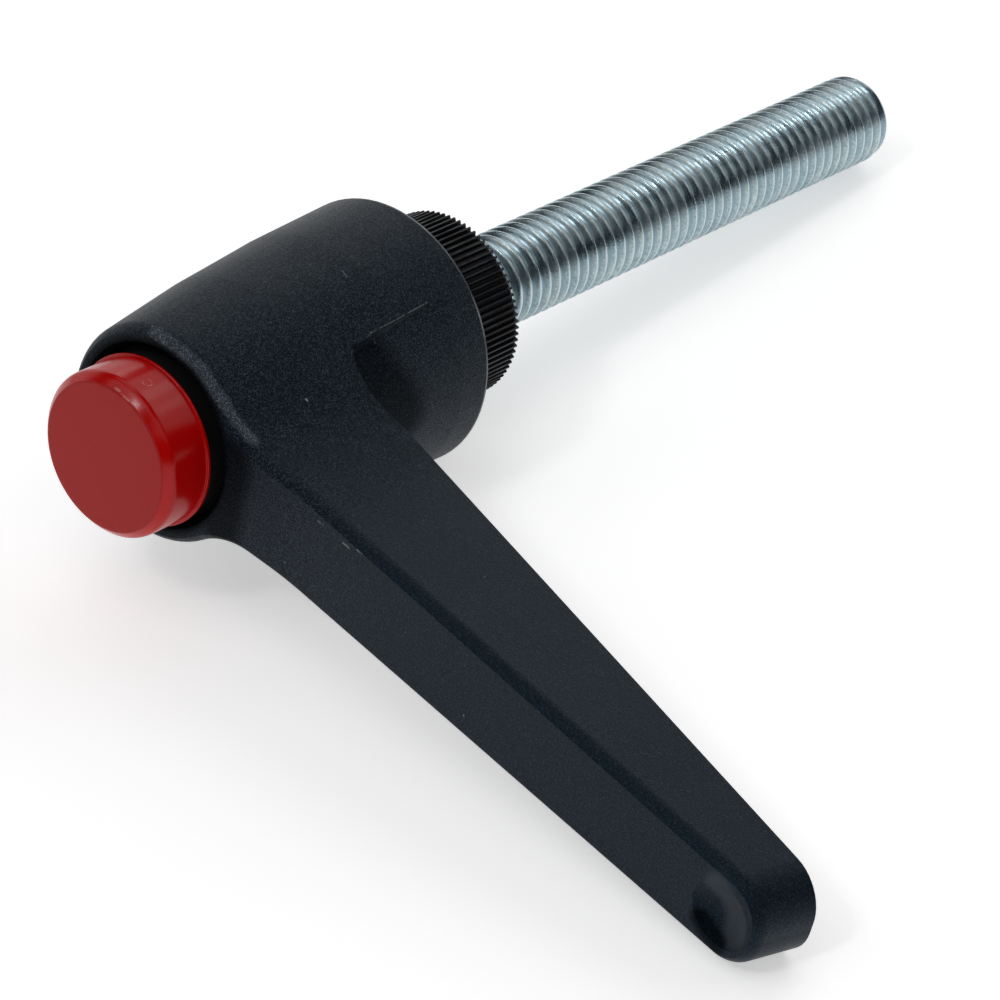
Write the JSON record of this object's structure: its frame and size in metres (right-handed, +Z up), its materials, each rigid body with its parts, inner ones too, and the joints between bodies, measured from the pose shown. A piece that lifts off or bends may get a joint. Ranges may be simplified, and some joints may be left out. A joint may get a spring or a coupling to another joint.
{
  "type": "adjustable clamping lever",
  "caption": "Adjustable clamping lever: black moulded arm and hub, red push button that frees the teeth, fluted boss and long threaded stud.",
  "frame": {"origin": "middle of the footprint on the surface that the lever lies on", "axes": "+Z up; +X from the free end of the stud to the push button; the arm points along +Y, lowered until its tip touches the surface"},
  "size_m": [0.1196, 0.0918, 0.0276],
  "materials": {
    "black_moulding": "fine spark-eroded grain on glass-fibre filled nylon",
    "red_button": "glossy sides, matte face",
    "black_steel": "blackened, its crests rubbed bright",
    "zinc_stud": "zinc plated, clear passivated, slightly dull",
    "dark_steel": "blackened alloy steel",
    "bright_steel": "turned, bright",
    "spring_steel": "drawn spring wire"
  },
  "bodies": {
    "handle": {"lever_handle": "black_moulding", "return_spring": "spring_steel"},
    "washer": {"thrust_washer": "bright_steel"},
    "spindle": {"push_button": "red_button", "toothed_insert": "black_steel", "threaded_stud": "zinc_stud", "retaining_screw": "dark_steel"}
  },
  "joints": [
    {"name": "button_press", "type": "slide", "parent": "handle", "child": "washer", "axis": [-0.994, 0, -0.1091], "range_m": [0, 0.0045], "stiffness_N_per_m": 1900, "springref_m": -0.004, "deforming": ["return_spring"]},
    {"name": "swivel", "type": "hinge", "parent": "washer", "child": "spindle", "pos_m": [0.04891, -0.03251, 0.01662], "axis": [0.994, 0, 0.1091], "continuous": true}
  ]
}
